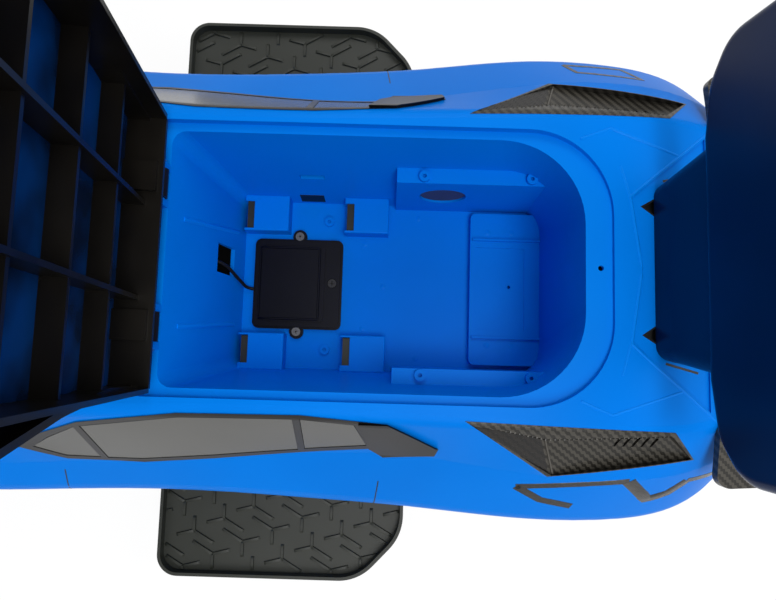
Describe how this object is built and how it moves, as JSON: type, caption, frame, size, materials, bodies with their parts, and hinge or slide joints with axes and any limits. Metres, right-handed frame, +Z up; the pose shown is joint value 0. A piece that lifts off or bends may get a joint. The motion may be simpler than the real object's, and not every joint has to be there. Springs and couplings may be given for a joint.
{
  "type": "ride-on push car",
  "caption": "Child's foot-to-floor sports car with a hinged seat lid over a storage tub, battery box, backrest, footrests, hand wheel and tie-rod steering.",
  "frame": {"origin": "on the ground, midway between nose and tail and between the two sides", "axes": "+X towards the tail, +Y towards the driver's right, +Z up"},
  "size_m": [0.84, 0.562, 0.5721],
  "materials": {
    "body_blue": "gloss",
    "black_plastic": "satin",
    "seat_black": "satin",
    "steel": "satin",
    "grip_black": "matte",
    "button_red": "gloss",
    "module_grey": "matte",
    "carbon_trim": "gloss",
    "footrest_grey": "satin",
    "box_black": "satin",
    "cell_wrap": "gloss",
    "wire_jacket": "satin",
    "window_grey": "gloss",
    "lamp_clear": "gloss",
    "lamp_red": "gloss",
    "chrome": "polished",
    "tyre_rubber": "matte",
    "rim_silver": "satin",
    "cap_black": "gloss"
  },
  "bodies": {
    "chassis": {"body_shell": "body_blue", "chassis_pan": "black_plastic", "body_screws": "steel", "front_beam": "black_plastic", "kingpins": "steel", "steering_bush": "black_plastic", "dashboard": "black_plastic", "sound_module": "module_grey", "speaker": "module_grey", "rear_axle": "steel", "axle_nuts": "steel", "hinge_pins": "steel", "backrest": "seat_black", "backrest_screws": "steel", "rear_spoiler": "carbon_trim", "battery_box": "box_black", "battery_cover": "box_black", "battery_cover_screw": "steel", "battery_box_screws": "steel", "battery_cells": "cell_wrap", "battery_contacts": "steel", "battery_wire": "wire_jacket", "windscreen": "window_grey", "window_frames": "black_plastic", "side_windows": "window_grey", "side_vents": "carbon_trim", "deck_vents": "black_plastic", "headlights": "lamp_clear", "front_grille": "black_plastic", "tail_lights": "lamp_red", "rear_diffuser": "black_plastic", "exhaust_tips": "chrome"},
    "lid": {"seat_lid": "seat_black"},
    "steering": {"steering_column": "steel", "steering_wheel": "grip_black"},
    "horn_right": {"horn_button_right": "button_red"},
    "horn_left": {"horn_button_left": "button_red"},
    "tie": {"tie_rod": "black_plastic"},
    "steer_right": {"knuckle_right": "black_plastic", "stub_axle_right": "steel"},
    "steer_left": {"knuckle_left": "black_plastic", "stub_axle_left": "steel"},
    "footrest_r": {"footrest_right": "footrest_grey"},
    "footrest_l": {"footrest_left": "footrest_grey"},
    "wheel_front_left": {"tyre_front_left": "tyre_rubber", "wheel_front_left": "rim_silver", "hub_cap_front_left": "cap_black"},
    "wheel_front_right": {"tyre_front_right": "tyre_rubber", "wheel_front_right": "rim_silver", "hub_cap_front_right": "cap_black"},
    "wheel_rear_left": {"tyre_rear_left": "tyre_rubber", "wheel_rear_left": "rim_silver", "hub_cap_rear_left": "cap_black"},
    "wheel_rear_right": {"tyre_rear_right": "tyre_rubber", "wheel_rear_right": "rim_silver", "hub_cap_rear_right": "cap_black"}
  },
  "joints": [
    {"name": "lid_hinge", "type": "hinge", "parent": "chassis", "child": "lid", "pos_m": [-0.039, 0, 0.252], "axis": [0, 1, 0], "range_deg": [0, 82]},
    {"name": "steering_turn", "type": "hinge", "parent": "chassis", "child": "steering", "pos_m": [-0.22945, 0, 0.086], "axis": [0.342, 0, 0.9397], "range_deg": [-27.61, 27.61]},
    {"name": "tie_rod_slide", "type": "slide", "parent": "chassis", "child": "tie", "axis": [0, 1, 0], "range_m": [-0.0112, 0.0112]},
    {"name": "steer_right_turn", "type": "hinge", "parent": "chassis", "child": "steer_right", "pos_m": [-0.225, 0.1, 0.074], "axis": [0, 0, 1], "range_deg": [-18.1, 18.1]},
    {"name": "steer_left_turn", "type": "hinge", "parent": "chassis", "child": "steer_left", "pos_m": [-0.225, -0.1, 0.074], "axis": [0, 0, 1], "range_deg": [-18.1, 18.1]},
    {"name": "front_left_spin", "type": "hinge", "parent": "steer_left", "child": "wheel_front_left", "pos_m": [-0.225, -0.146, 0.074], "axis": [0, 1, 0], "continuous": true},
    {"name": "front_right_spin", "type": "hinge", "parent": "steer_right", "child": "wheel_front_right", "pos_m": [-0.225, 0.146, 0.074], "axis": [0, 1, 0], "continuous": true},
    {"name": "rear_left_spin", "type": "hinge", "parent": "chassis", "child": "wheel_rear_left", "pos_m": [0.225, -0.146, 0.074], "axis": [0, 1, 0], "continuous": true},
    {"name": "rear_right_spin", "type": "hinge", "parent": "chassis", "child": "wheel_rear_right", "pos_m": [0.225, 0.146, 0.074], "axis": [0, 1, 0], "continuous": true},
    {"name": "horn_right_press", "type": "slide", "parent": "steering", "child": "horn_right", "axis": [-0.342, 0, -0.9397], "range_m": [0, 0.0025], "stiffness_N_per_m": 200, "springref_m": -0.002},
    {"name": "horn_left_press", "type": "slide", "parent": "steering", "child": "horn_left", "axis": [-0.342, 0, -0.9397], "range_m": [0, 0.0025], "stiffness_N_per_m": 200, "springref_m": -0.002},
    {"name": "footrest_right_pull", "type": "slide", "parent": "chassis", "child": "footrest_r", "axis": [0, 1, 0], "range_m": [0, 0.035]},
    {"name": "footrest_left_pull", "type": "slide", "parent": "chassis", "child": "footrest_l", "axis": [0, -1, 0], "range_m": [0, 0.035]}
  ],
  "couplings": [
    {"joint": "tie_rod_slide", "follows": "steering_turn", "m_per_rad": -0.023082},
    {"joint": "steer_right_turn", "follows": "steering_turn", "ratio": 0.65182},
    {"joint": "steer_left_turn", "follows": "steering_turn", "ratio": 0.65182}
  ]
}
